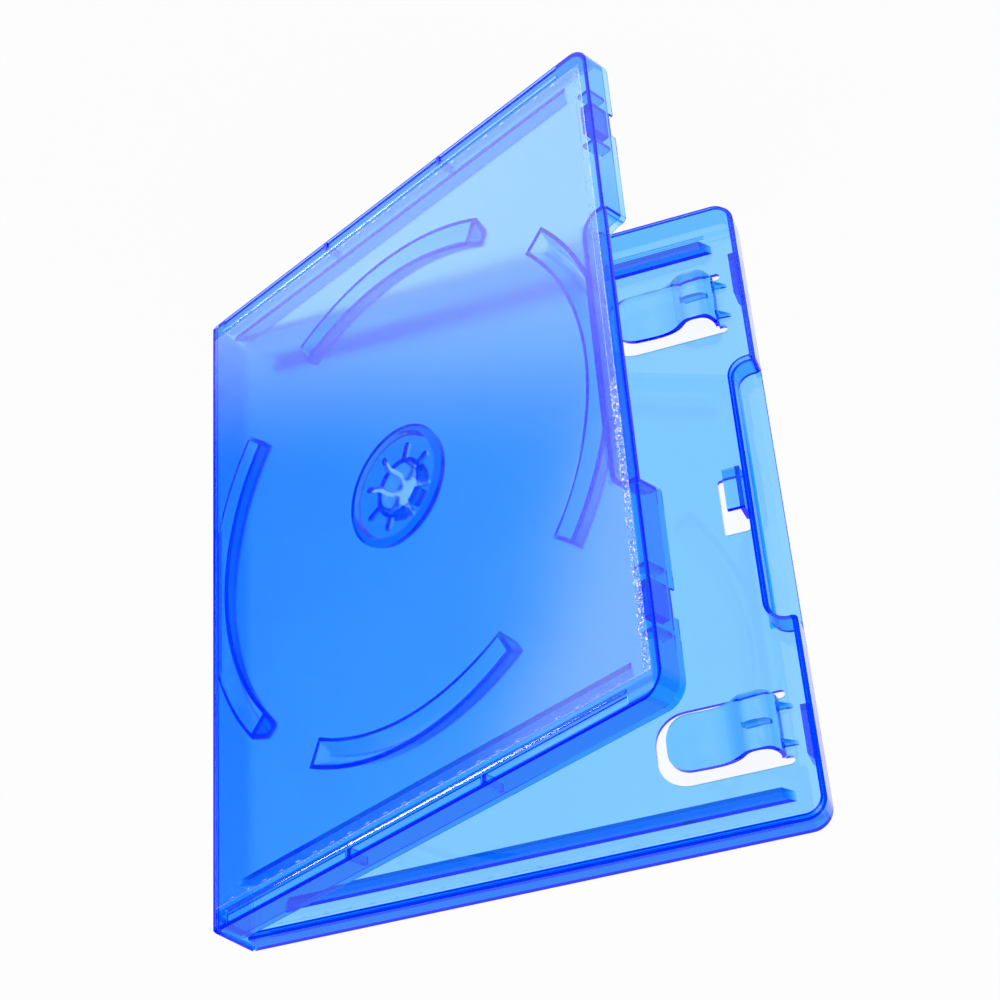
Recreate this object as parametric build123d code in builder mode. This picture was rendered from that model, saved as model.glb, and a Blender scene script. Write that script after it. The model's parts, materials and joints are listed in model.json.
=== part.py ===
import os
from math import cos, degrees, radians, sin, tan

from build123d import *

os.makedirs("parts", exist_ok=True)

# Overall size when closed, in millimetres.
case_height = 171.0
case_width = 135.0
case_thickness = 14.0

# Resting pose: how far each cover is turned open from closed, in degrees.
disc_open = 11.6
front_open = 14.8

# Mouldings.
panel = 1.0
disc_wall = 1.2
front_wall = 1.2
corner_radius = 5.0
outer_round = 0.45
disc_wall_depth = 6.0
disc_lip_depth = 7.4
disc_lip = 0.5
front_wall_depth = 6.4
front_tongue_depth = 7.6
front_tongue = 0.5
wall_start = 2.2

# How far an added feature reaches into what carries it, and a cut past what it opens.
join = 0.2
past = 1.0

# Living hinges: a bead on the spine's edge and a groove in the cover's edge.
spine_thickness = 1.4
bead_radius = 0.7
bead_clearance = 0.06
edge_setback = 0.55
bevel_angle = 40.0
spine_end_chamfer = 0.6

# Thumb notch: the walls step back, the panels run on to the edge.
notch_half = 35.6
notch_depth = 6.0
notch_inner_radius = 4.0
notch_outer_radius = 1.2

# Disc hub, in the disc cover's own axes.
hub_x = 65.1
hub_recess_radius = 13.0
hub_recess_depth = 1.0
hub_floor = 1.5
hub_rim = 2.0
hub_pin_radius = 7.4
hub_pin_height = 3.0
hub_finger_wall = 1.1
hub_tip_radius = 3.4
hub_slots = 8
hub_slot_width = 1.5
hub_slot_reach = 3.4
hub_pin_bevel = 0.8
hub_crown_drop = 0.6
hub_recess_bevel = 0.3
hub_draft = 0.3

# Arcs that keep the disc in place: hollow ridges, open on the outside under the film.
arc_inner_radius = 59.4
arc_width = 7.2
arc_draft = 1.6
arc_top_depth = 5.2
arc_skin = 0.9
arc_bevel = 0.6
arc_end_half = 28.5
arc_side_half = 40.0
arc_hinge_gap = 0.65
arc_notch_gap = 0.5

# Long stiffening ribs beside the two ends of both covers.
rib_end_gap = 8.9
disc_rib_width = 1.3
front_rib_width = 2.4
rib_start = 9.0
rib_fore_gap = 7.4
rib_slope = 2.4
disc_rib_depth = 4.4
front_rib_depth = 4.2

# Groove in the outside of the disc cover's end borders, with cross webs.
groove_inner = 2.6
groove_outer = 0.5
groove_depth = 0.45
groove_start = 5.0
groove_fore_gap = 9.0
web_places = (45.0, 86.0)
web_width = 1.0
web_reach = 1.8

# Latches on the fore edge.
latch_end_gap = 21.7
latch_half = 4.0
latch_thick = 2.2
latch_depth = 5.6
latch_rib_step = 7.5
latch_rib_width = 1.0
latch_rib_reach = 2.6
lip_gap_half = 3.4
catch_half = 6.0
catch_thick = 1.6
catch_taper = 2.5
catch_depth = 6.0

# Booklet clips on the front cover.
clip_end_gap = 25.9
clip_fore_gap = 7.6
clip_length = 26.2
clip_half = 7.0
clip_skin = 1.2
clip_top = 7.2
clip_hump = 8.4
clip_tongue = 3.6
clip_tip_round = 5.6
clip_side_gap = 2.2
clip_tip_gap = 3.0
clip_foot = 1.6
clip_lean = 0.4
clip_shoulder = 2.9
clip_bend = 1.4
clip_crown = 0.5
clip_ease = 0.1
clip_fall = 4.0
clip_drop = 1.9
clip_lead = 6.6
clip_sag = 0.5
clip_web = 1.9
brace_inset = 2.4
brace_reach = 2.6
brace_height = 3.0
window_round = 7.4
relief_half = 1.0
relief_length = 4.4

# Centre hook on the front cover.
hook_fore_gap = 8.3
hook_window_width = 6.2
hook_window_low = -7.8
hook_window_high = 7.6
hook_reach = 3.9
hook_low = -7.2
hook_high = 4.0
hook_top = 6.2
hook_skin = 1.2
hook_draft = 0.3
hook_window_round = 0.8

# Clear film.
film = 0.15
film_end_gap = 5.5
film_fore_gap = 2.2
film_hinge_gap = 0.4

half_height = case_height / 2.0
half_thick = case_thickness / 2.0
axis_y = half_thick - bead_radius
hinge_edge = bead_radius + edge_setback
notch_floor = case_width - notch_depth
rib_offset = half_height - rib_end_gap
rib_end = case_width - rib_fore_gap
groove_end = case_width - groove_fore_gap
latch_offset = half_height - latch_end_gap
clip_offset = half_height - clip_end_gap
clip_root = case_width - clip_fore_gap
clip_tip = clip_root - clip_length
hook_far = case_width - hook_fore_gap
hook_window_near = hook_far - hook_window_width


# The covers' own axes: x from the spine to the fore edge, depth inward from the outer face.
def disc_plane(depth):
    ux = cos(radians(disc_open))
    uy = sin(radians(disc_open))
    px = -bead_radius * (ux + uy) + depth * uy
    py = axis_y + bead_radius * (ux - uy) - depth * ux
    return Plane(origin=(px, py, half_height), x_dir=(ux, uy, 0), z_dir=(uy, -ux, 0))


def front_plane(depth):
    ux = cos(radians(front_open))
    uy = sin(radians(front_open))
    px = -bead_radius * (ux + uy) + depth * uy
    py = -axis_y - bead_radius * (ux - uy) + depth * ux
    return Plane(origin=(px, py, half_height), x_dir=(ux, -uy, 0), z_dir=(uy, ux, 0))


# A plane that holds the cover's x and depth directions, at a given height along the cover.
def section_plane(face_plane, height):
    origin = face_plane.from_local_coords(Vector(0, height, 0))
    return Plane(origin=origin, x_dir=face_plane.x_dir, z_dir=-face_plane.y_dir)


# The outline of a cover's wall, set in by a distance, with the thumb notch.
def wall_face(inset, left):
    fore = case_width - inset
    floor = fore - notch_depth
    end = half_height - inset
    side = notch_half + inset
    points = [(left, -end), (fore, -end), (fore, -side), (floor, -side)]
    points += [(floor, side), (fore, side), (fore, end), (left, end)]
    with BuildSketch() as face:
        with BuildLine():
            Polyline(*points, close=True)
        make_face()
        corners = face.vertices().filter_by(lambda v: v.X > fore - 0.01 and abs(v.Y) > end - 0.01)
        fillet(corners, max(corner_radius - inset, 0.5))
        inner = face.vertices().filter_by(lambda v: abs(v.X - floor) < 0.01)
        fillet(inner, notch_inner_radius + inset)
        outer = face.vertices().filter_by(lambda v: v.X > fore - 0.01 and abs(abs(v.Y) - side) < 0.01)
        fillet(outer, max(notch_outer_radius - inset, 0.3))
    return face.sketch


# The outline of a cover's panel, square at the hinge and rounded at the fore edge.
def panel_face():
    left = hinge_edge
    points = [(left, -half_height), (case_width, -half_height)]
    points += [(case_width, half_height), (left, half_height)]
    with BuildSketch() as face:
        with BuildLine():
            Polyline(*points, close=True)
        make_face()
        corners = face.vertices().filter_by(lambda v: v.X > case_width - 0.01)
        fillet(corners, corner_radius)
    return face.sketch


# The groove and bevel that are cut from a cover's hinge edge, drawn in x and depth.
def hinge_cut():
    reach = panel - bead_radius
    slope = tan(radians(bevel_angle))
    bevel_end = bead_radius + (reach + join) / slope
    points = [(0, bead_radius), (bead_radius, bead_radius), (bevel_end, panel + join), (0, panel + join)]
    with BuildSketch() as face:
        with BuildLine():
            Polyline(*points, close=True)
        make_face()
        with Locations((bead_radius, bead_radius)):
            Circle(bead_radius + bead_clearance)
    return face.sketch


# A rib beside an end of a cover, drawn in x and depth, with sloped ends.
def rib_face(depth):
    points = [(rib_start, panel - join), (rib_end, panel - join), (rib_end, panel)]
    points += [(rib_end - rib_slope, depth), (rib_start + rib_slope, depth), (rib_start, panel)]
    with BuildSketch() as face:
        with BuildLine():
            Polyline(*points, close=True)
        make_face()
    return face.sketch


# The origin is the middle of the spine's lower end, and both hinge axes stand at x = 0.
with BuildPart() as spine:
    inner_x = spine_thickness - bead_radius
    inner_y = axis_y - inner_x / tan(radians(bevel_angle))
    notch_x = bead_radius * sin(radians(bevel_angle))
    notch_y = axis_y - bead_radius * cos(radians(bevel_angle))
    with BuildSketch():
        with BuildLine():
            Polyline(
                (-bead_radius, -axis_y),
                (-bead_radius, axis_y),
                (0, axis_y),
                (notch_x, notch_y),
                (inner_x, inner_y),
                (inner_x, -inner_y),
                (notch_x, -notch_y),
                (0, -axis_y),
                close=True,
            )
        make_face()
        with Locations((0, axis_y), (0, -axis_y)):
            Circle(bead_radius)
    extrude(amount=case_height)
    back_edges = spine.edges().filter_by(Axis.Y).filter_by(lambda e: e.center().X < -bead_radius + 0.01)
    chamfer(back_edges, spine_end_chamfer)

arc_spans = ((0, arc_side_half), (90, arc_end_half), (180, arc_side_half), (270, arc_end_half))


# A plane through the hub's axis: x at an angle round the hub, y inward.
def ray_plane(angle):
    base = disc_plane(0)
    ray = base.x_dir * cos(radians(angle)) + base.y_dir * sin(radians(angle))
    centre = base.from_local_coords(Vector(hub_x, 0, 0))
    return Plane(origin=centre, x_dir=ray, z_dir=ray.cross(base.z_dir))


# The section of a ridge or of its hollow: a foot, two drafted flanks and a bevelled top.
def arc_section(inset, foot, flank, top):
    inner = arc_inner_radius + inset
    outer = arc_inner_radius + arc_width - inset
    with BuildSketch() as face:
        with BuildLine():
            Polyline(
                (inner, foot),
                (outer, foot),
                (outer, flank),
                (outer - arc_draft, top),
                (inner + arc_draft, top),
                (inner, flank),
                close=True,
            )
        make_face()
        chamfer(face.vertices().filter_by(lambda v: v.Y > top - 0.01), arc_bevel)
    return face.sketch


# The four ridges and their hollows, cut off straight beside the hinge and the thumb notch.
arc_left = hinge_edge + arc_hinge_gap
arc_right = notch_floor - arc_notch_gap
arc_end_skin = degrees(arc_skin / (arc_inner_radius + arc_width / 2))
with BuildPart() as arc_ridges:
    hub_axis = Axis(disc_plane(0).from_local_coords(Vector(hub_x, 0, 0)), disc_plane(0).z_dir)
    for middle, half in arc_spans:
        with BuildSketch(ray_plane(middle - half)):
            add(arc_section(0, panel - join, panel, arc_top_depth))
        revolve(axis=hub_axis, revolution_arc=2 * half)
    with BuildSketch(disc_plane(-past)):
        with Locations(((arc_left + arc_right) / 2, 0)):
            Rectangle(arc_right - arc_left, case_height)
    extrude(amount=case_thickness, mode=Mode.INTERSECT)

with BuildPart() as arc_hollows:
    for middle, half in arc_spans:
        with BuildSketch(ray_plane(middle - half + arc_end_skin)):
            add(arc_section(arc_skin, -join, 0, arc_top_depth - arc_skin))
        revolve(axis=hub_axis, revolution_arc=2 * (half - arc_end_skin))
    with BuildSketch(disc_plane(-past)):
        with Locations(((arc_left + arc_right) / 2, 0)):
            Rectangle(arc_right - arc_left - 2 * arc_skin, case_height)
    extrude(amount=case_thickness, mode=Mode.INTERSECT)

with BuildPart() as disc_cover:
    base = disc_plane(0)
    with BuildSketch(base):
        add(panel_face())
    extrude(amount=panel)
    rim = disc_cover.faces().sort_by(Axis(base.origin, base.z_dir))[0].edges()
    keep = hinge_edge + join
    rim = rim.filter_by(lambda e: base.to_local_coords(e.center()).X > keep)
    fillet(rim, outer_round)
    with BuildSketch(disc_plane(panel - join)):
        add(wall_face(0, wall_start))
        add(wall_face(disc_wall, wall_start - past), mode=Mode.SUBTRACT)
    extrude(amount=disc_wall_depth - panel + join)
    with BuildSketch(disc_plane(disc_wall_depth - join)):
        add(wall_face(0, wall_start))
        add(wall_face(disc_lip, wall_start - past), mode=Mode.SUBTRACT)
    extrude(amount=disc_lip_depth - disc_wall_depth + join)
    with BuildSketch(disc_plane(disc_wall_depth)):
        with Locations((case_width, latch_offset), (case_width, -latch_offset)):
            Rectangle(4 * disc_lip, 2 * lip_gap_half)
    extrude(amount=disc_lip_depth, mode=Mode.SUBTRACT)
    with BuildSketch(section_plane(base, -half_height - past)):
        add(hinge_cut())
    extrude(amount=-case_height - 2 * past, mode=Mode.SUBTRACT)
    for side in (-1, 1):
        with BuildSketch(section_plane(base, side * rib_offset - disc_rib_width / 2)):
            add(rib_face(disc_rib_depth))
        extrude(amount=-disc_rib_width)
        with BuildSketch(base):
            groove_y = half_height - (groove_inner + groove_outer) / 2
            with Locations(((groove_start + groove_end) / 2, side * groove_y)):
                Rectangle(groove_end - groove_start, groove_inner - groove_outer)
            with Locations([(w, side * groove_y) for w in web_places]):
                Rectangle(web_width, 2 * groove_inner, mode=Mode.SUBTRACT)
        extrude(amount=groove_depth, mode=Mode.SUBTRACT)
        with BuildSketch(disc_plane(panel - join)):
            latch_x = case_width - disc_wall - (latch_thick - join) / 2
            with Locations((latch_x, side * latch_offset)):
                Rectangle(latch_thick + join, 2 * latch_half)
            ledge_x = case_width - disc_wall - (latch_rib_reach - join) / 2
            steps = (-latch_rib_step, latch_rib_step)
            with Locations([(ledge_x, side * latch_offset + step) for step in steps]):
                Rectangle(latch_rib_reach + join, latch_rib_width)
            web_y = half_height - disc_wall - (web_reach - join) / 2
            with Locations([(place, side * web_y) for place in web_places]):
                Rectangle(web_width, web_reach + join)
        extrude(amount=latch_depth - panel + join)
    add(arc_ridges.part)
    add(arc_hollows.part, mode=Mode.SUBTRACT)
    hub_plane = ray_plane(0)
    seat = hub_recess_depth + hub_floor
    rim_radius = hub_recess_radius + hub_rim
    pin_top = seat + hub_pin_height
    with BuildSketch(hub_plane) as hub_body:
        with BuildLine():
            Polyline(
                (0, panel - join),
                (rim_radius, panel - join),
                (rim_radius, panel),
                (rim_radius - hub_draft, seat),
                (hub_pin_radius, seat),
                (hub_pin_radius, pin_top - hub_pin_bevel),
                (hub_pin_radius - hub_pin_bevel, pin_top),
                (hub_tip_radius, pin_top - hub_crown_drop),
                (0, pin_top - hub_crown_drop),
                close=True,
            )
        make_face()
    revolve(axis=hub_axis)
    inside = hub_pin_radius - hub_finger_wall
    crown_top = pin_top - hub_finger_wall
    with BuildSketch(hub_plane):
        with BuildLine():
            Polyline(
                (0, 0),
                (hub_recess_radius + hub_recess_bevel, 0),
                (hub_recess_radius, hub_recess_bevel),
                (hub_recess_radius - hub_draft, hub_recess_depth - hub_recess_bevel),
                (hub_recess_radius - hub_draft - hub_recess_bevel, hub_recess_depth),
                (inside, hub_recess_depth),
                (inside, crown_top - hub_pin_bevel),
                (inside - hub_pin_bevel, crown_top),
                (hub_tip_radius, crown_top - hub_crown_drop),
                (hub_tip_radius, pin_top),
                (0, pin_top),
                close=True,
            )
        make_face()
    revolve(axis=hub_axis, mode=Mode.SUBTRACT)
    slot_end = hub_pin_radius + hub_slot_reach
    with BuildSketch(disc_plane(hub_recess_depth - join)):
        with Locations((hub_x, 0)):
            with PolarLocations(slot_end / 2, hub_slots, start_angle=180 / hub_slots):
                SlotOverall(slot_end, hub_slot_width)
    extrude(amount=pin_top - hub_recess_depth + 2 * join, mode=Mode.SUBTRACT)


# One booklet clip, in the front cover's axes at mid height: a hump at the root, then a flat tongue.
with BuildPart() as clip:
    base = front_plane(0)
    hump_end = clip_root - clip_hump
    hump_middle = clip_root - clip_hump / 2 - clip_crown
    inner_top = clip_top - clip_skin
    inner_tongue = clip_tongue - clip_skin
    with BuildSketch(section_plane(base, -clip_half)):
        with BuildLine():
            upper = Spline(
                (clip_root - clip_lean, panel + join),
                (clip_root - clip_foot, clip_top - clip_bend),
                (clip_root - clip_shoulder, clip_top - clip_ease),
                (hump_middle, clip_top),
                (hump_end + join, clip_top - 3 * clip_ease),
                (hump_end - 0.45 * clip_fall, clip_top - clip_drop),
                (hump_end - clip_fall, clip_tongue + clip_lean),
                (hump_end - clip_lead, clip_tongue - clip_ease),
                (clip_tip, clip_tongue - clip_sag),
            )
            Line(upper @ 1, (clip_tip, inner_tongue - clip_sag))
            Spline(
                (clip_tip, inner_tongue - clip_sag),
                (hump_end - clip_lead + join, inner_tongue - clip_ease),
                (hump_end - 0.85 * clip_fall, inner_tongue + clip_lean),
                (hump_end - 0.25 * clip_fall, inner_top - clip_drop),
                (hump_end + 3 * join, inner_top - clip_lean),
                (hump_middle, inner_top),
                (clip_root - clip_shoulder - clip_crown, inner_top - clip_lean),
                (clip_root - clip_shoulder + join, inner_top - 2 * clip_crown),
                (clip_root - clip_foot, panel / 2),
            )
            Polyline(
                (clip_root - clip_foot, panel / 2),
                (clip_root - clip_foot, join),
                (clip_root + clip_skin, join),
                (clip_root + clip_skin, panel),
                (clip_root - clip_lean, panel + join),
            )
        make_face()
    extrude(amount=-2 * clip_half)
    tip = clip.edges().filter_by(lambda e: base.to_local_coords(e.center()).X < clip_tip + 0.01)
    tip = tip.filter_by(lambda e: abs(base.to_local_coords(e.center()).Y) > clip_half - 0.01)
    fillet(tip, clip_tip_round)
    with BuildSketch(section_plane(base, -web_width / 2)):
        with BuildLine():
            Polyline(
                (hump_end, inner_top + join),
                (clip_root - clip_shoulder + clip_ease, inner_top + join),
                (clip_root - clip_shoulder + 2 * join, inner_top - clip_web),
                (hump_end + 3 * join, inner_top - clip_web),
                close=True,
            )
        make_face()
    extrude(amount=-web_width)
    for end in (-1, 1):
        with BuildSketch(section_plane(base, end * (clip_half - brace_inset) - web_width / 2)):
            with BuildLine():
                Polyline(
                    (clip_root - clip_foot / 2, panel - join),
                    (clip_root + brace_reach, panel - join),
                    (clip_root + brace_reach, panel),
                    (clip_root - clip_foot / 2, panel + brace_height),
                    close=True,
                )
            make_face()
        extrude(amount=-web_width)

with BuildPart() as front_cover:
    base = front_plane(0)
    with BuildSketch(base):
        add(panel_face())
    extrude(amount=panel)
    rim = front_cover.faces().sort_by(Axis(base.origin, base.z_dir))[0].edges()
    keep = hinge_edge + join
    rim = rim.filter_by(lambda e: base.to_local_coords(e.center()).X > keep)
    fillet(rim, outer_round)
    with BuildSketch(front_plane(panel - join)):
        add(wall_face(0, wall_start))
        add(wall_face(front_wall, wall_start - past), mode=Mode.SUBTRACT)
    extrude(amount=front_wall_depth - panel + join)
    with BuildSketch(front_plane(front_wall_depth - join)):
        add(wall_face(front_wall - front_tongue, wall_start))
        add(wall_face(front_wall, wall_start - past), mode=Mode.SUBTRACT)
    extrude(amount=front_tongue_depth - front_wall_depth + join)
    with BuildSketch(section_plane(base, -half_height - past)):
        add(hinge_cut())
    extrude(amount=-case_height - 2 * past, mode=Mode.SUBTRACT)
    for side in (-1, 1):
        with BuildSketch(section_plane(base, side * rib_offset - front_rib_width / 2)):
            add(rib_face(front_rib_depth))
        extrude(amount=-front_rib_width)
        with BuildSketch(front_plane(panel - join)):
            fore = case_width - front_wall + join
            near = case_width - front_wall - catch_thick
            low = side * latch_offset - catch_half
            high = side * latch_offset + catch_half
            with BuildLine():
                Polyline((fore, low - catch_taper), (fore, high), (near, high), (near, low), close=True)
            make_face()
        extrude(amount=catch_depth - panel + join)
        middle = side * clip_offset
        window_half = clip_half + clip_side_gap
        window_root = clip_root - clip_foot / 2
        window_tip = clip_tip - clip_tip_gap
        with BuildSketch(base) as window:
            with Locations(((window_root + window_tip) / 2, middle)):
                Rectangle(window_root - window_tip, 2 * window_half)
            tips = window.vertices().filter_by(lambda v: v.X < window_tip + 0.01)
            fillet(tips, window_round)
            relief_y = window_half - relief_half
            with Locations([(window_root - join, middle + end * relief_y) for end in (-1, 1)]):
                SlotOverall(relief_length, 2 * relief_half)
        extrude(amount=panel, mode=Mode.SUBTRACT)
        add(clip.part.moved(Location((0, 0, side * clip_offset))))
    with BuildSketch(base):
        hook_x = (hook_window_near + hook_far) / 2
        hook_y = -(hook_window_low + hook_window_high) / 2
        with Locations((hook_x, hook_y)):
            RectangleRounded(hook_window_width, hook_window_high - hook_window_low, hook_window_round)
    extrude(amount=panel, mode=Mode.SUBTRACT)
    with BuildSketch(section_plane(base, -hook_high)):
        with BuildLine():
            Polyline(
                (hook_far + hook_skin, join),
                (hook_far + hook_skin, panel),
                (hook_far + 2 * hook_draft, panel),
                (hook_far + hook_draft, hook_top),
                (hook_far - hook_reach, hook_top),
                (hook_far - hook_reach, hook_top - hook_skin),
                (hook_far - hook_skin + hook_draft, hook_top - hook_skin),
                (hook_far - hook_skin + 2 * hook_draft, join),
                close=True,
            )
        make_face()
    extrude(amount=-(hook_high - hook_low))


# Film panels lie on the outer faces and stop short of the two hinge lines.
def film_face():
    left = hinge_edge + film_hinge_gap
    right = case_width - film_fore_gap
    with BuildSketch() as face:
        with Locations(((left + right) / 2, 0)):
            Rectangle(right - left, case_height - 2 * film_end_gap)
    return face.sketch


with BuildPart() as disc_film:
    with BuildSketch(disc_plane(0)):
        add(film_face())
    extrude(amount=-film)

with BuildPart() as front_film:
    with BuildSketch(front_plane(0)):
        add(film_face())
    extrude(amount=-film)

with BuildPart() as spine_film:
    back = Plane(origin=(-bead_radius, 0, half_height), x_dir=(0, 1, 0), z_dir=(-1, 0, 0))
    with BuildSketch(back):
        Rectangle(2 * (axis_y - film_hinge_gap), case_height - 2 * film_end_gap)
    extrude(amount=film)

spine.part.label = "spine"
export_step(spine.part, "parts/spine.step")
disc_cover.part.label = "disc_cover"
export_step(disc_cover.part, "parts/disc_cover.step")
front_cover.part.label = "front_cover"
export_step(front_cover.part, "parts/front_cover.step")
spine_film.part.label = "spine_film"
export_step(spine_film.part, "parts/spine_film.step")
disc_film.part.label = "disc_film"
export_step(disc_film.part, "parts/disc_film.step")
front_film.part.label = "front_film"
export_step(front_film.part, "parts/front_film.step")
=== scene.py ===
import json
import math

import bpy
from mathutils import Matrix, Vector


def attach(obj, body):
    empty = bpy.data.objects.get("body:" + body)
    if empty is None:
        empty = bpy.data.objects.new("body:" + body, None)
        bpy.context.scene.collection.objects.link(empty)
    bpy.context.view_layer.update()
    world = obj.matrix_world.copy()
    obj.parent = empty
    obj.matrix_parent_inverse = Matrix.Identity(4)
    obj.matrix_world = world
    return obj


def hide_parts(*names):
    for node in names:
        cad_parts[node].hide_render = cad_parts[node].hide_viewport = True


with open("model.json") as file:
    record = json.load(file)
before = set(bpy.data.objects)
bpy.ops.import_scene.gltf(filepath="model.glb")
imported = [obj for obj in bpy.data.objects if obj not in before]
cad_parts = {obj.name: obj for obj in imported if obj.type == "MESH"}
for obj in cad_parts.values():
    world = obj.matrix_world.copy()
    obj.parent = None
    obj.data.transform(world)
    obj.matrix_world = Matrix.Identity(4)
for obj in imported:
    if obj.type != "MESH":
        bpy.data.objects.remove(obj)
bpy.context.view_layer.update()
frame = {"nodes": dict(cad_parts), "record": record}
bpy.ops.object.select_all(action="DESELECT")

# The case, in metres: its height and width, and the beads that its covers turn on.
CASE_WIDTH = 0.135
CASE_HEIGHT = 0.171
HALF_HEIGHT = CASE_HEIGHT / 2
HINGE_RADIUS = 0.0007
HINGE_OFF = 0.0063

# The clear sleeve: how far its edges stay off those of a cover, how it lies and how slack it is.
FILM_END_GAP = 0.0055
FILM_FORE_GAP = 0.0022
FILM_HINGE_GAP = 0.00165
FILM_OFF = 0.00005
FILM_THICK = 0.00008
FILM_WAVE = 0.00025
FILM_WAVE_LENGTH = 0.03
FILM_ROWS = 72
COVER_FILM_COLUMNS = 60
SPINE_FILM_COLUMNS = 8
SPINE_FILM_HALF = 0.0059
FILM_HALF = HALF_HEIGHT - FILM_END_GAP
FILM_FORE = CASE_WIDTH - FILM_FORE_GAP

# The weld along the sleeve's fore edge: crinkled up to a place in its cover's y, and calm from there on.
WELD_WIDTH = 0.0016
WELD_GRAIN = 0.00032
WELD_HEIGHT = 0.0003
WELD_CRINKLE = 0.00019
WELD_CALM = 0.00004
WELD_CRINKLED_TO = {"disc_cover": -0.01, "front_cover": -0.09}
WELD_SEED = 7

# The hem and the welded spots along the sleeve's ends.
HEM_RADIUS = 0.00011
HEM_SIDES = 12
HEM_OFF = HEM_RADIUS * 1.2
SPOT_LENGTH = 0.0011
SPOT_WIDTH = 0.00034
SPOT_HEIGHT = 0.00014
SPOT_ROUND = SPOT_HEIGHT * 0.48
SPOT_SEGMENTS = 3
SPOT_PITCH = 0.0056
SPOT_INSET = 0.0003

# The low rounded bead along each end of a cover, between the film and the groove.
BEAD_INSET = 0.00375
BEAD_START = 0.005
BEAD_FORE_GAP = 0.009
BEAD_RADIUS = 0.0006
BEAD_HEIGHT = 0.0003
BEAD_SIDES = 48
BEAD_CUT = 0.00002

# Edges that turn by more than this stay sharp, on the film with its hems and spots and on the beads.
FILM_CREASE = math.radians(40.0)
BEAD_CREASE = math.radians(30.0)

# Where the moulding gets painted shade, a deeper blue standing in for light run long through the walls,
# and a painted blue sheen: at its end walls, at its fore walls, which step back at the thumb notch, at
# the disc cover's border beyond the film and at the beads (painted shade only), and less so near the
# floor.
# End walls are measured from the middle of the height, and fore walls and border from the hinge.
END_WALL_INSET = 0.0013
FORE_WALL_INSET = 0.0012
NOTCH_STEP = 0.006
END_WALL = HALF_HEIGHT - END_WALL_INSET
FORE_WALL = CASE_WIDTH - FORE_WALL_INSET
NOTCH_WALL = FORE_WALL - NOTCH_STEP
NOTCH_HALF = 0.0345
FORE_WALL_BAND = 0.0009
BORDER_START = 0.1322
BEAD_BAND = 0.0007
FADE_LOW = 0.035
FADE_HIGH = 0.075
FADE_LEAST = 0.15

# Colours and finishes of the blue plastic and of the film, whose face is hazier than its back. Light that
# has turned more often than the guided depth goes straight on.
WHITE = (1.0, 1.0, 1.0, 1.0)
PLASTIC_BLUE = (0.03, 0.69, 1.0, 1.0)
PLASTIC_DENSITY = 1340.0
PLASTIC_ROUGHNESS = 0.015
PLASTIC_IOR = 1.49
FLOW_SHADE = (0.94, 0.97, 1.0, 1.0)
FLOW_SCALE = 35.0
FLOW_DETAIL = 0.0
# Painted shade and sheen on the rims: a deeper blue where light runs long through the walls, and a blue
# tint on their gloss.
COVER_PAINTED_RIM_SHADE = (0.1, 0.62, 1.0, 1.0)
SPINE_PAINTED_RIM_SHADE = (0.05, 0.3, 0.95, 1.0)
PAINTED_RIM_SHEEN = (0.0, 0.4, 1.0, 1.0)
FACE_HAZE = (0.1, 0.16)
BACK_HAZE = (0.0, 0.017)
HAZE_SCALE = 22.0
HAZE_DETAIL = 1.0
GUIDED_DEPTH = 9.0

# The floor and the studio. A painted pool of blue shade, like the case's coloured shadow, lies on the
# floor on both sides of it and is seen only in gloss: each edge of that painted pool has a lean, a start
# and an end.
# Where gloss mirrors the floor, it is also painted brighter than white, a painted reflection.
FLOOR_SIZE = 6.0
FLOOR_DROP = 0.0004
FLOOR_PAPER = (0.9, 0.9, 0.9, 1.0)
FLOOR_WHITE = 0.965
PAINTED_POOL_EDGES = ((-0.55, -0.08, 0.03), (2.0, 0.236, 0.276))
PAINTED_POOL_BLUE = (0.0, 0.1, 1.0, 1.0)
MIRRORED_FROM = 0.5
PAINTED_MIRRORED_WHITE = 1.2
STUDIO_LIGHT = 0.7
SOFT_BOX_SIZE = (0.2, 1.0)
SOFT_BOX_LEAN = math.radians(42.0)
BEAD_BOX_PLACE = (-0.63, 0.369, 0.693)
BEAD_BOX_LIGHT = 20.0
FILM_BOX_PLACE = (-0.64, 0.369, 0.693)
FILM_BOX_LIGHT = 8.0

# The camera: from above, beyond the fore edges, with the picture upside down as in the photograph.
CAMERA_PLACE = (0.31115, 0.38338, 0.39413)
CAMERA_TURN = (math.radians(-55.41068515), math.radians(-3.92201925), math.radians(-33.96498581))
CAMERA_LENS = 85.7206
CAMERA_SENSOR = 36.0
CAMERA_NEAR = 0.01
CAMERA_FAR = 20.0

# How often light may turn on its way, and how often it may go straight through a clear skin.
BOUNCES = 18
CLEAR_BOUNCES = 24

# Room for each node in the node editor.
NODE_STEP = 200


def new_material(name):
    mat = bpy.data.materials.new(name)
    mat.use_nodes = True
    mat.node_tree.nodes.clear()
    return mat, mat.node_tree


def node(tree, kind, **values):
    new = tree.nodes.new(kind)
    new.location = (NODE_STEP * len(tree.nodes), 0)
    for key, value in values.items():
        setattr(new, key, value)
    return new


# Gives an input a value, or links another node's output to it.
def feed(tree, socket, value):
    if isinstance(value, bpy.types.NodeSocket):
        tree.links.new(value, socket)
    else:
        socket.default_value = value


def calculate(tree, operation, *values):
    step = node(tree, "ShaderNodeMath", operation=operation)
    for socket, value in zip(step.inputs, values):
        feed(tree, socket, value)
    return step.outputs["Value"]


def map_range(tree, value, start, end, least=0.0, most=1.0, curve="LINEAR"):
    ramp = node(tree, "ShaderNodeMapRange", interpolation_type=curve)
    ramp.inputs["From Min"].default_value = start
    ramp.inputs["From Max"].default_value = end
    ramp.inputs["To Min"].default_value = least
    ramp.inputs["To Max"].default_value = most
    feed(tree, ramp.inputs["Value"], value)
    return ramp.outputs["Result"]


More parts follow.
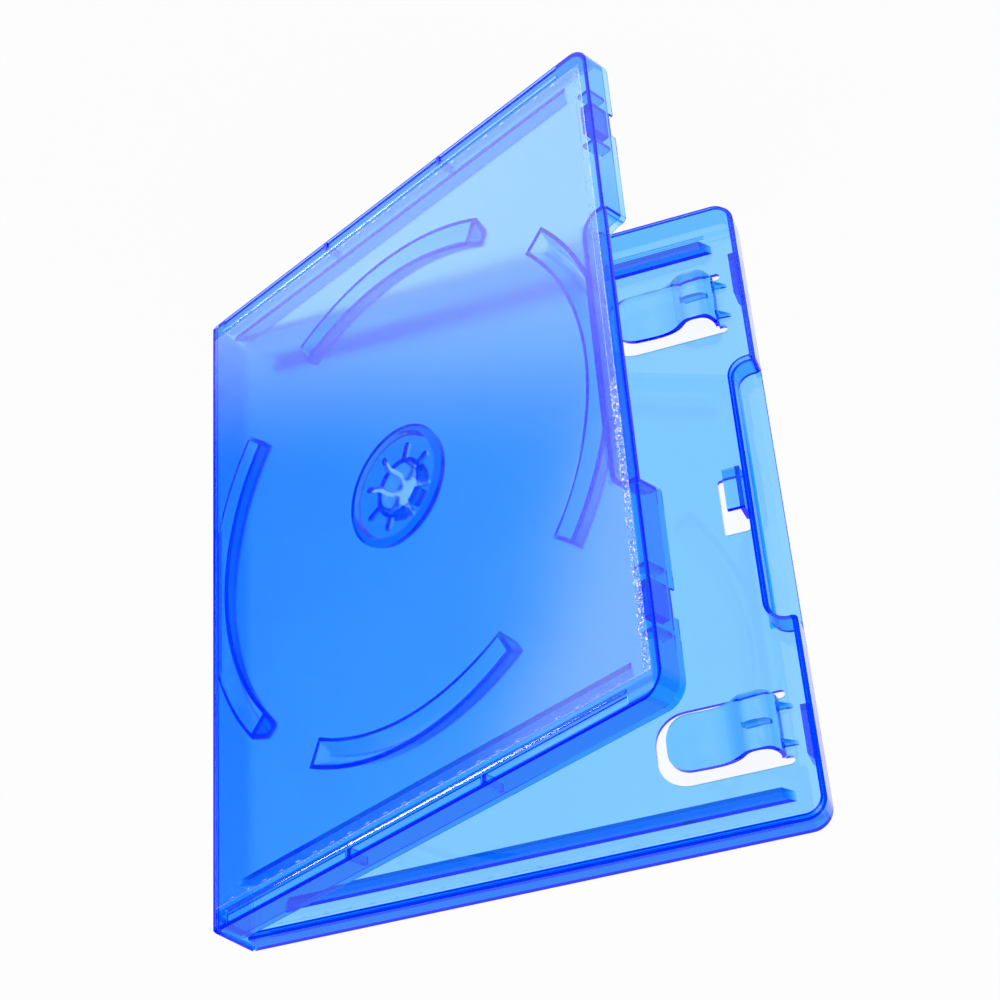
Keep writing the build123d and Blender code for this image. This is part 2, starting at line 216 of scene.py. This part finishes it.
def mix_colours(tree, share, first, second, way="MIX"):
    mix = node(tree, "ShaderNodeMix", data_type="RGBA", blend_type=way)
    feed(tree, mix.inputs["Factor"], share)
    feed(tree, mix.inputs["A"], first)
    feed(tree, mix.inputs["B"], second)
    return mix.outputs["Result"]


def mix_shaders(tree, share, first, second):
    mix = node(tree, "ShaderNodeMixShader")
    feed(tree, mix.inputs["Fac"], share)
    feed(tree, mix.inputs[1], first)
    feed(tree, mix.inputs[2], second)
    return mix.outputs["Shader"]


def object_place(tree, coords):
    place = node(tree, "ShaderNodeSeparateXYZ")
    feed(tree, place.inputs["Vector"], coords.outputs["Object"])
    return place.outputs


def cloudy(tree, coords, scale, detail):
    noise = node(tree, "ShaderNodeTexNoise")
    noise.inputs["Scale"].default_value = scale
    noise.inputs["Detail"].default_value = detail
    feed(tree, noise.inputs["Vector"], coords.outputs["Object"])
    return noise.outputs["Fac"]


# Clear for lamps, and for light that has been guided round inside the moulding many times.
def let_light_through(tree, skin, out):
    clear = node(tree, "ShaderNodeBsdfTransparent")
    path = node(tree, "ShaderNodeLightPath")
    guided = calculate(tree, "GREATER_THAN", path.outputs["Ray Depth"], GUIDED_DEPTH)
    either = calculate(tree, "MAXIMUM", path.outputs["Is Shadow Ray"], guided)
    surface = mix_shaders(tree, either, skin.outputs["BSDF"], clear.outputs["BSDF"])
    feed(tree, out.inputs["Surface"], surface)


# How much painted shade a place gets, with the beads, and how much painted sheen, without them.
# Off the rims both are nought.
def painted_rim_masks(tree, coords):
    place = object_place(tree, coords)
    from_middle = calculate(tree, "ABSOLUTE", calculate(tree, "SUBTRACT", place["Z"], HALF_HEIGHT))
    beside_hinge = calculate(tree, "SUBTRACT", calculate(tree, "ABSOLUTE", place["Y"]), HINGE_OFF)
    flat = node(tree, "ShaderNodeCombineXYZ")
    feed(tree, flat.inputs["X"], place["X"])
    feed(tree, flat.inputs["Y"], beside_hinge)
    length = node(tree, "ShaderNodeVectorMath", operation="LENGTH")
    feed(tree, length.inputs[0], flat.outputs["Vector"])
    reach = length.outputs["Value"]
    end_wall = calculate(tree, "GREATER_THAN", from_middle, END_WALL)
    off_notch = calculate(tree, "GREATER_THAN", from_middle, NOTCH_HALF)
    wall_reach = calculate(tree, "MULTIPLY_ADD", off_notch, FORE_WALL - NOTCH_WALL, NOTCH_WALL)
    fore_wall = calculate(tree, "COMPARE", reach, wall_reach, FORE_WALL_BAND)
    past_film = calculate(tree, "GREATER_THAN", reach, BORDER_START)
    disc_side = calculate(tree, "GREATER_THAN", place["Y"], 0.0)
    border = calculate(tree, "MULTIPLY", past_film, disc_side)
    painted_walls = calculate(tree, "MAXIMUM", end_wall, calculate(tree, "MAXIMUM", border, fore_wall))
    beads = calculate(tree, "COMPARE", from_middle, HALF_HEIGHT - BEAD_INSET, BEAD_BAND)
    fade = map_range(tree, place["Z"], FADE_LOW, FADE_HIGH, FADE_LEAST)
    painted_shade_share = calculate(tree, "MULTIPLY", calculate(tree, "MAXIMUM", painted_walls, beads), fade)
    return painted_shade_share, calculate(tree, "MULTIPLY", painted_walls, fade)


# Blue see-through polypropylene: clear blue all through, with faint flow marks of the moulding,
# and with painted shade in a deeper blue and a painted blue sheen on its rims.
def blue_plastic(name, painted_rim_shade):
    mat, tree = new_material(name)
    out = node(tree, "ShaderNodeOutputMaterial")
    coords = node(tree, "ShaderNodeTexCoord")
    flow = cloudy(tree, coords, FLOW_SCALE, FLOW_DETAIL)
    shade = mix_colours(tree, flow, FLOW_SHADE, WHITE)
    painted_shade_share, painted_walls = painted_rim_masks(tree, coords)
    skin = node(tree, "ShaderNodeBsdfPrincipled")
    skin.inputs["Transmission Weight"].default_value = 1.0
    skin.inputs["Roughness"].default_value = PLASTIC_ROUGHNESS
    skin.inputs["IOR"].default_value = PLASTIC_IOR
    # Painted shade: the rims' colour is deepened towards the painted rim shade.
    feed(tree, skin.inputs["Base Color"], mix_colours(tree, painted_shade_share, shade, painted_rim_shade, "MULTIPLY"))
    # Painted reflection: the gloss on the walls is tinted blue.
    feed(tree, skin.inputs["Specular Tint"], mix_colours(tree, painted_walls, WHITE, PAINTED_RIM_SHEEN))
    let_light_through(tree, skin, out)
    tint = node(tree, "ShaderNodeVolumeAbsorption")
    tint.inputs["Color"].default_value = PLASTIC_BLUE
    tint.inputs["Density"].default_value = PLASTIC_DENSITY
    feed(tree, out.inputs["Volume"], tint.outputs["Volume"])
    return mat


# Clear sleeve film: hazy, so that what lies well behind it is seen softly.
def clear_film(name, haze):
    mat, tree = new_material(name)
    out = node(tree, "ShaderNodeOutputMaterial")
    coords = node(tree, "ShaderNodeTexCoord")
    clouds = cloudy(tree, coords, HAZE_SCALE, HAZE_DETAIL)
    skin = node(tree, "ShaderNodeBsdfPrincipled")
    skin.inputs["Base Color"].default_value = WHITE
    skin.inputs["Transmission Weight"].default_value = 1.0
    skin.inputs["IOR"].default_value = PLASTIC_IOR
    feed(tree, skin.inputs["Roughness"], map_range(tree, clouds, 0.0, 1.0, *haze))
    let_light_through(tree, skin, out)
    return mat


def paint(piece, *mats):
    piece.data.materials.clear()
    for mat in mats:
        piece.data.materials.append(mat)


plastic = blue_plastic("blue_see_through_plastic", COVER_PAINTED_RIM_SHADE)
spine_plastic = blue_plastic("blue_see_through_spine_plastic", SPINE_PAINTED_RIM_SHADE)
film_face = clear_film("clear_sleeve_film_face", FACE_HAZE)
film_back = clear_film("clear_sleeve_film_back", BACK_HAZE)
paint(frame["nodes"]["spine"], spine_plastic)
for name in ("disc_cover", "front_cover"):
    paint(frame["nodes"][name], plastic)


# The axes of a cover at rest: x from its hinge to the fore edge, y along the hinge, z outwards.
# On the front cover y runs up, and on the disc cover it runs down.
def cover_axes(joint_name, side):
    joint = next(j for j in frame["record"]["behaviour"]["joints"] if j["name"] == joint_name)
    turned = math.radians(-joint["range_deg"][0])
    fore = Vector((math.cos(turned), side * math.sin(turned), 0.0))
    out = Vector((-math.sin(turned), side * math.cos(turned), 0.0))
    axes = Matrix((fore, out.cross(fore), out)).transposed().to_4x4()
    axes.translation = Vector(joint["pos_m"]) + (out - fore) * HINGE_RADIUS
    return axes


# Puts a piece into the given axes, with its place in its mesh.
def settle(piece, axes):
    piece.matrix_world = axes
    bpy.ops.object.select_all(action="DESELECT")
    piece.select_set(True)
    bpy.context.view_layer.objects.active = piece
    bpy.ops.object.transform_apply(location=True, rotation=True, scale=True)


def apply_modifiers(piece):
    bpy.context.view_layer.objects.active = piece
    for modifier in list(piece.modifiers):
        bpy.ops.object.modifier_apply(modifier=modifier.name)


# A flat grid of the film, as large as the given place on its cover.
def film_grid(name, left, right, columns, rows):
    bpy.ops.mesh.primitive_grid_add(x_subdivisions=columns, y_subdivisions=rows, size=1.0)
    grid = bpy.context.active_object
    grid.name = name
    grid.scale = (right - left, 2 * FILM_HALF, 1.0)
    grid.location = ((left + right) / 2, 0.0, FILM_OFF)
    bpy.ops.object.transform_apply(location=True, rotation=True, scale=True)
    return grid


# A film panel that lies a hair off its cover, with slack waves.
def film_panel(name, left, right, columns):
    film = film_grid(name, left, right, columns, FILM_ROWS)
    ripples = bpy.data.textures.new(name + "_ripples", "CLOUDS")
    ripples.noise_scale = FILM_WAVE_LENGTH
    ripples.noise_depth = 0
    swell = film.modifiers.new("swell", "DISPLACE")
    swell.texture = ripples
    swell.texture_coords = "LOCAL"
    swell.direction = "Z"
    swell.strength = FILM_WAVE
    swell.mid_level = 0.0
    wall = film.modifiers.new("wall", "SOLIDIFY")
    wall.thickness = FILM_THICK
    wall.offset = 1.0
    wall.material_offset = 1
    apply_modifiers(film)
    bpy.ops.object.shade_smooth_by_angle(angle=FILM_CREASE)
    paint(film, film_face, film_back)
    return film


# A crimped weld: a strip along the film's fore edge whose outer side the sealing bar left crinkled.
def weld_strip(name, crinkled_to):
    columns = round(WELD_WIDTH / WELD_GRAIN)
    rows = round(2 * FILM_HALF / WELD_GRAIN)
    strip = film_grid(name, FILM_FORE - WELD_WIDTH, FILM_FORE, columns, rows)
    wall = strip.modifiers.new("wall", "SOLIDIFY")
    wall.thickness = WELD_HEIGHT
    wall.offset = 1.0
    apply_modifiers(strip)
    middle = FILM_OFF + WELD_HEIGHT / 2
    for crinkled, amount in ((True, WELD_CRINKLE), (False, WELD_CALM)):
        bpy.ops.object.mode_set(mode="EDIT")
        bpy.ops.mesh.select_all(action="DESELECT")
        bpy.ops.object.mode_set(mode="OBJECT")
        for vert in strip.data.vertices:
            vert.select = vert.co.z > middle and (vert.co.y < crinkled_to) == crinkled
        bpy.ops.object.mode_set(mode="EDIT")
        bpy.ops.transform.vertex_random(offset=amount, uniform=1.0, seed=WELD_SEED)
        bpy.ops.object.mode_set(mode="OBJECT")
    return strip


# A round bar along x, at a place across the cover and a height of its middle over it.
def round_bar(name, left, right, place, height, radius, sides):
    bpy.ops.mesh.primitive_cylinder_add(vertices=sides, radius=radius, depth=right - left)
    bar = bpy.context.active_object
    bar.name = name
    bar.rotation_euler = (0.0, math.pi / 2, 0.0)
    bar.location = ((left + right) / 2, place, height)
    bpy.ops.object.transform_apply(location=True, rotation=True, scale=True)
    return bar


# A thin rolled hem along an end of the film.
def film_hem(name, end):
    edge = end * (FILM_HALF + HEM_OFF)
    hem = round_bar(name, FILM_HINGE_GAP, FILM_FORE, edge, FILM_OFF + HEM_RADIUS, HEM_RADIUS, HEM_SIDES)
    bpy.ops.object.shade_smooth_by_angle(angle=FILM_CREASE)
    return hem


# Small welded spots in a row along an end of the film.
def spot_row(name, end):
    start = FILM_HINGE_GAP + SPOT_PITCH
    bpy.ops.mesh.primitive_cube_add(size=1.0)
    spots = bpy.context.active_object
    spots.name = name
    spots.scale = (SPOT_LENGTH, SPOT_WIDTH, SPOT_HEIGHT)
    spots.location = (start, end * (FILM_HALF - SPOT_INSET), FILM_OFF + FILM_THICK + FILM_WAVE)
    bpy.ops.object.transform_apply(location=True, rotation=True, scale=True)
    soften = spots.modifiers.new("soften", "BEVEL")
    soften.width = SPOT_ROUND
    soften.segments = SPOT_SEGMENTS
    row = spots.modifiers.new("row", "ARRAY")
    row.count = int((FILM_FORE - start) / SPOT_PITCH)
    row.use_relative_offset = False
    row.use_constant_offset = True
    row.constant_offset_displace = (SPOT_PITCH, 0.0, 0.0)
    apply_modifiers(spots)
    bpy.ops.object.shade_smooth_by_angle(angle=FILM_CREASE)
    return spots


def join(pieces):
    bpy.ops.object.select_all(action="DESELECT")
    for piece in pieces:
        piece.select_set(True)
    bpy.context.view_layer.objects.active = pieces[0]
    bpy.ops.object.join()
    return pieces[0]


def ride_as_film(film, axes, replaced, body):
    settle(film, axes)
    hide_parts(replaced)
    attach(film, body)


# The sleeve on one cover: a panel of film, a weld along its fore edge, and a hem and spots at its ends.
def cover_sleeve(name, cover, joint_name, side, replaced):
    film = film_panel(name, FILM_HINGE_GAP, FILM_FORE - WELD_WIDTH, COVER_FILM_COLUMNS)
    trims = [weld_strip(name + "_weld", WELD_CRINKLED_TO[cover])]
    for end in (-1, 1):
        trims.append(film_hem(name + "_hem", end))
        trims.append(spot_row(name + "_spots", end))
    for trim in trims:
        paint(trim, film_back)
    film = join([film] + trims)
    ride_as_film(film, cover_axes(joint_name, side), replaced, cover)
    return film


# The strip of the sleeve that goes round the spine.
def spine_sleeve():
    film = film_panel("spine_sleeve", -SPINE_FILM_HALF, SPINE_FILM_HALF, SPINE_FILM_COLUMNS)
    axes = Matrix(((0.0, 0.0, -1.0), (-1.0, 0.0, 0.0), (0.0, 1.0, 0.0))).to_4x4()
    axes.translation = (-HINGE_RADIUS, 0.0, HALF_HEIGHT)
    ride_as_film(film, axes, "spine_film", "spine")


# A bead along one end of a cover: a round bar, cut off near the panel. The cut keeps to the bar's own
# edges beside it, so that the bead reaches a little into the panel.
def end_bead(name, end):
    place = end * (HALF_HEIGHT - BEAD_INSET)
    right = CASE_WIDTH - BEAD_FORE_GAP
    bead = round_bar(name, BEAD_START, right, place, BEAD_HEIGHT - BEAD_RADIUS, BEAD_RADIUS, BEAD_SIDES)
    bpy.ops.object.mode_set(mode="EDIT")
    bpy.ops.mesh.select_all(action="SELECT")
    cut = (0.0, 0.0, BEAD_CUT)
    bpy.ops.mesh.bisect(plane_co=cut, plane_no=(0.0, 0.0, 1.0), use_fill=True, clear_inner=True)
    bpy.ops.object.mode_set(mode="OBJECT")
    bpy.ops.object.shade_smooth_by_angle(angle=BEAD_CREASE)
    return bead


# The beads at both ends of a cover.
def cover_beads(name, cover, joint_name, side):
    beads = join([end_bead(name, end) for end in (-1, 1)])
    paint(beads, plastic)
    settle(beads, cover_axes(joint_name, side))
    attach(beads, cover)
    return beads


sleeves = [
    cover_sleeve("disc_cover_sleeve", "disc_cover", "disc_hinge", 1, "disc_film"),
    cover_sleeve("front_cover_sleeve", "front_cover", "front_hinge", -1, "front_film"),
]
beads = [
    cover_beads("disc_cover_beads", "disc_cover", "disc_hinge", 1),
    cover_beads("front_cover_beads", "front_cover", "front_hinge", -1),
]
spine_sleeve()


# The floor's colour and strength: white, and where gloss mirrors it, painted brighter, with a painted
# pool of blue shade.
def floor_light_with_painted_pool(tree, path):
    place = object_place(tree, node(tree, "ShaderNodeTexCoord"))
    either_side = calculate(tree, "ABSOLUTE", place["Y"])
    edges = []
    # The edges of the painted pool of blue shade, seen only where gloss mirrors the floor.
    for lean, start, end in PAINTED_POOL_EDGES:
        measure = calculate(tree, "MULTIPLY_ADD", either_side, lean, place["X"])
        edges.append(map_range(tree, measure, start, end, curve="SMOOTHSTEP"))
    straight = calculate(tree, "LESS_THAN", path.outputs["Glossy Depth"], MIRRORED_FROM)
    white = calculate(tree, "MAXIMUM", calculate(tree, "MAXIMUM", *edges), straight)
    # Painted reflection: the mirrored floor is brighter than white.
    strength = calculate(tree, "MULTIPLY_ADD", straight, 1.0 - PAINTED_MIRRORED_WHITE, PAINTED_MIRRORED_WHITE)
    return mix_colours(tree, white, PAINTED_POOL_BLUE, WHITE), strength


# Plain white floor that keeps a faint shadow; in gloss it is painted brighter, with a painted pool of
# blue shade.
def white_floor():
    bpy.ops.mesh.primitive_plane_add(size=FLOOR_SIZE, location=(0.0, 0.0, -FLOOR_DROP))
    floor = bpy.context.active_object
    floor.name = "floor"
    mat, tree = new_material("white_floor")
    mat.cycles.emission_sampling = "NONE"
    out = node(tree, "ShaderNodeOutputMaterial")
    paper = node(tree, "ShaderNodeBsdfDiffuse")
    paper.inputs["Color"].default_value = FLOOR_PAPER
    path = node(tree, "ShaderNodeLightPath")
    white = node(tree, "ShaderNodeEmission")
    colour, strength = floor_light_with_painted_pool(tree, path)
    feed(tree, white.inputs["Color"], colour)
    feed(tree, white.inputs["Strength"], strength)
    direct = calculate(tree, "MULTIPLY", path.outputs["Is Camera Ray"], FLOOR_WHITE)
    mirrored = path.outputs["Is Glossy Ray"]
    through = calculate(tree, "MAXIMUM", mirrored, path.outputs["Is Transmission Ray"])
    share = calculate(tree, "MAXIMUM", direct, through)
    skin = mix_shaders(tree, share, paper.outputs["BSDF"], white.outputs["Emission"])
    feed(tree, out.inputs["Surface"], skin)
    paint(floor, mat)


# White studio all round: seen as plain white, lighting the object a little softer.
def white_studio():
    world = bpy.data.worlds.new("white_studio")
    bpy.context.scene.world = world
    world.use_nodes = True
    world.cycles.sampling_method = "NONE"
    tree = world.node_tree
    tree.nodes.clear()
    out = node(tree, "ShaderNodeOutputWorld")
    lit = node(tree, "ShaderNodeBackground")
    lit.inputs["Strength"].default_value = STUDIO_LIGHT
    shown = node(tree, "ShaderNodeBackground")
    path = node(tree, "ShaderNodeLightPath")
    seen = calculate(tree, "MAXIMUM", path.outputs["Is Camera Ray"], path.outputs["Is Transmission Ray"])
    skin = mix_shaders(tree, seen, lit.outputs["Background"], shown.outputs["Background"])
    feed(tree, out.inputs["Surface"], skin)


# A tall soft box of the studio that faces along +X, shown only by the gloss of the given pieces.
def soft_box(name, place, strength, pieces):
    bpy.ops.mesh.primitive_plane_add(size=1.0)
    card = bpy.context.active_object
    card.name = name
    card.scale = (*SOFT_BOX_SIZE, 1.0)
    bpy.ops.object.transform_apply(location=True, rotation=True, scale=True)
    along = Vector((0.0, -math.sin(SOFT_BOX_LEAN), math.cos(SOFT_BOX_LEAN)))
    facing = Vector((1.0, 0.0, 0.0))
    axes = Matrix((along.cross(facing), along, facing)).transposed().to_4x4()
    axes.translation = place
    settle(card, axes)
    mat, tree = new_material(name + "_glow")
    mat.cycles.emission_sampling = "NONE"
    out = node(tree, "ShaderNodeOutputMaterial")
    glow = node(tree, "ShaderNodeEmission")
    glow.inputs["Strength"].default_value = strength
    clear = node(tree, "ShaderNodeBsdfTransparent")
    both = node(tree, "ShaderNodeAddShader")
    feed(tree, both.inputs[0], glow.outputs["Emission"])
    feed(tree, both.inputs[1], clear.outputs["BSDF"])
    feed(tree, out.inputs["Surface"], both.outputs["Shader"])
    paint(card, mat)
    for kind in ("camera", "diffuse", "transmission", "volume_scatter", "shadow"):
        setattr(card, "visible_" + kind, False)
    lit = bpy.data.collections.new(name + "_lights")
    for piece in pieces:
        lit.objects.link(piece)
    card.light_linking.receiver_collection = lit


def photo_camera():
    bpy.ops.object.camera_add(location=CAMERA_PLACE, rotation=CAMERA_TURN)
    camera = bpy.context.active_object
    camera.name = "photo_camera"
    camera.data.lens = CAMERA_LENS
    camera.data.sensor_width = CAMERA_SENSOR
    camera.data.clip_start = CAMERA_NEAR
    camera.data.clip_end = CAMERA_FAR
    bpy.context.scene.camera = camera


white_floor()
white_studio()
soft_box("bead_soft_box", BEAD_BOX_PLACE, BEAD_BOX_LIGHT, beads)
soft_box("film_soft_box", FILM_BOX_PLACE, FILM_BOX_LIGHT, sleeves)
photo_camera()

scene = bpy.context.scene
scene.view_settings.view_transform = "Standard"
scene.cycles.max_bounces = BOUNCES
scene.cycles.glossy_bounces = BOUNCES
scene.cycles.transmission_bounces = BOUNCES
scene.cycles.transparent_max_bounces = CLEAR_BOUNCES
